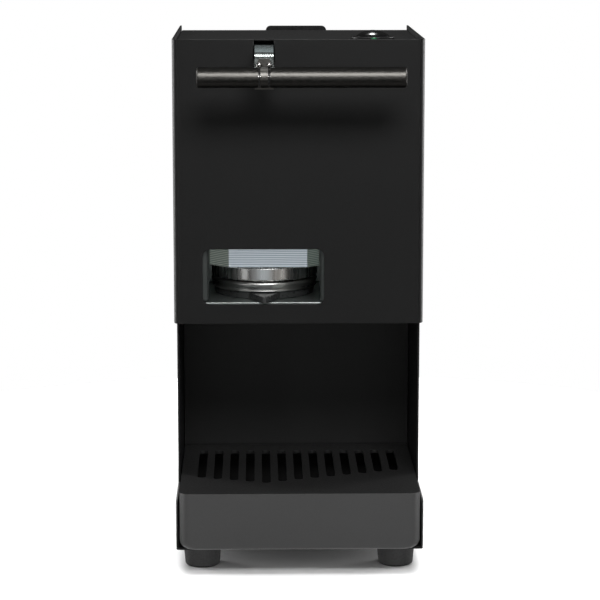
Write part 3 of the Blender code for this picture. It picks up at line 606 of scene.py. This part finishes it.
# Soft boxes: place, what they face, width and height, power in watts, and the nodes that
# they light. No nodes means everything, and "all but" everything except the nodes after it.
# The two chamfer lights also pass through all the other pieces.
LOW_PIECES = ("drip_cover", "foot_front_left", "foot_front_right")
BAR_TUBES = ("handle_tube_left", "handle_tube_right", "handle_bracket")
BAR_PIECES = ("handle_tube_left", "handle_tube_right", "brew_button",
              "handle_washer_left", "handle_washer_right", "lever_arm")
REAR_PIECES = ("water_tank", "rear_panel", "power_inlet", "rocker_frame",
               "power_rocker", "side_frame_left", "side_frame_right")
ROUND_PIECES = ("piston_head", "pod_seat")
SOFT_BOXES = {
    "table_light": ((0, 0.1, 1.5), (0, 0.0, 0), (1.6, 1.6), 26, ("table_top",)),
    "overhead": ((0, 0.15, 1.5), (0, 0.05, 0), (1.0, 1.0), 2.3, ("all but", *BAR_PIECES)),
    "bar_top": ((0, 0.15, 1.5), (0, 0.05, 0), (1.0, 1.0), 0.2, BAR_PIECES),
    "button_spot": ((0.05, 0.51, 1.27), (0.05, -0.04, 0.31), (0.2, 0.2), 1.5,
                    ("brew_button",)),
    "bar_card": ((0, -1.2, 0.80), (0, -0.13, 0.295), (0.9, 0.2), 2.0, BAR_TUBES),
    "bar_under": ((0, -0.26, 0.001), (0, -0.26, 1), (0.9, 0.3), 0.06, BAR_TUBES),
    "lever_card": ((-0.02, 1.1, 0.95), (-0.02, -0.1, 0.305), (0.6, 0.4), 0.13,
                   ("lever_arm",)),
    "table_front": ((0, -1.3, 0.55), (0, -0.1, 0), (1.6, 0.6), 1.5, ("table_top",)),
    "key": ((0.12, -0.95, 1.02), (0, 0, 0.2), (0.7, 0.36), 3.8, ()),
    "front_low": ((0, -1.3, 0.15), (0, 0, 0.1), (1.2, 0.25), 0.32,
                  ("all but", "front_casing")),
    "tray_card": ((0, -0.42, 0.02), (0, -0.139, 0.035), (0.7, 0.2), 0.22, LOW_PIECES),
    "floor_card": ((0, -0.22, 0.001), (0, -0.22, 1), (1.0, 0.4), 1.25, LOW_PIECES),
    "tray_left": ((-1.0, -0.3, 0.06), (0, -0.13, 0.03), (0.6, 0.3), 2.6, ("drip_cover",)),
    "tray_right": ((1.0, -0.3, 0.06), (0, -0.13, 0.03), (0.6, 0.3), 2.6, ("drip_cover",)),
    "block_card": ((-0.04, -1.2, 0.02), (-0.02, -0.09, 0.17), (0.5, 0.3), 0.9,
                   ("group_block",)),
    "seat_card": ((0, -0.95, 1.0), (-0.02, -0.09, 0.17), (0.9, 0.35), 2.5, ("pod_seat",)),
    "spout_card": ((-0.02, -0.5, 1.2), (-0.02, -0.1, 0.16), (0.4, 0.3), 4,
                   ("spout_funnel",)),
    "sill_card": ((-0.02, -0.5, 1.2), (-0.02, -0.1, 0.16), (0.4, 0.3), 1.5,
                  ("group_floor",)),
    "chamfer_left": ((-1.2, -0.3, 0.1), (-0.02, -0.07, 0.19), (0.6, 0.4), 0.85,
                     ("group_block",)),
    "chamfer_right": ((1.2, -0.3, 0.1), (-0.02, -0.07, 0.19), (0.6, 0.4), 0.77,
                      ("group_block",)),
    "cool_card": ((-0.05, -1.2, 0.02), (-0.02, -0.09, 0.17), (0.5, 0.3), 0.10, ROUND_PIECES),
    "warm_card": ((0.62, -1.02, 0.02), (-0.02, -0.09, 0.17), (0.6, 0.3), 0.055, ROUND_PIECES),
    "group_edge_left": ((-0.95, -0.6, 0.02), (-0.02, -0.09, 0.17), (0.1, 0.3), 0.07,
                        ROUND_PIECES),
    "group_edge_right": ((1.05, -0.25, 0.02), (-0.02, -0.09, 0.17), (0.14, 0.3), 0.07,
                         ROUND_PIECES),
    "rear_fill": ((0, 1.3, 0.7), (0, 0.1, 0.15), (1.0, 0.6), 3.5, REAR_PIECES),
    "glint_left": ((-0.8, -0.9, 0.28), (0, 0, 0.17), (0.12, 0.7), 0.3, ()),
    "glint_right": ((0.75, -1.0, 0.28), (0, 0, 0.17), (0.12, 0.7), 0.15, ()),
    "rim_left": ((-1.1, 0.55, 0.3), (0, 0, 0.17), (0.4, 1.0), 6.0, ()),
    "rim_right": ((1.1, 0.55, 0.3), (0, 0, 0.17), (0.4, 1.0), 6.0, ()),
}

CARD_COLOURS = {"lever_card": (0.86, 0.97, 1.0), "cool_card": (0.80, 0.92, 1.0),
                "warm_card": (1.0, 0.88, 0.76), "block_card": (0.92, 0.97, 1.0),
                "chamfer_left": (0.93, 1.0, 0.80), "chamfer_right": (0.85, 1.0, 0.79)}


def make_lights():
    shown = [piece.name for piece in bpy.data.objects if piece.name.endswith(SKIN)]
    for name, (place, target, size, power, lit) in SOFT_BOXES.items():
        lamp = area_light(name, place, target, size, power)
        lamp.data.color = CARD_COLOURS.get(name, (1, 1, 1))
        if not lit:
            continue
        pieces = [node if node == "table_top" else node + SKIN for node in lit]
        if lit[0] == "all but":
            pieces = [piece for piece in shown if piece not in pieces[1:]]
        chosen = bpy.data.collections.new(name + "_lights")
        for piece in pieces:
            chosen.objects.link(bpy.data.objects[piece])
        lamp.light_linking.receiver_collection = chosen
        if name.startswith("chamfer"):
            lamp.light_linking.blocker_collection = chosen


def main():
    scene = bpy.context.scene
    scene.view_settings.view_transform = "Standard"
    own_mesh = {"pod_seat": make_pod_seat, "brew_button": make_button,
                "pressure_hose": make_pressure_hose}
    for node in nodes:
        if node in own_mesh:
            own_mesh[node]()
        else:
            finer(node, EDGES.get(node, EDGE))
    make_camera()
    make_stage()
    make_lights()


main()
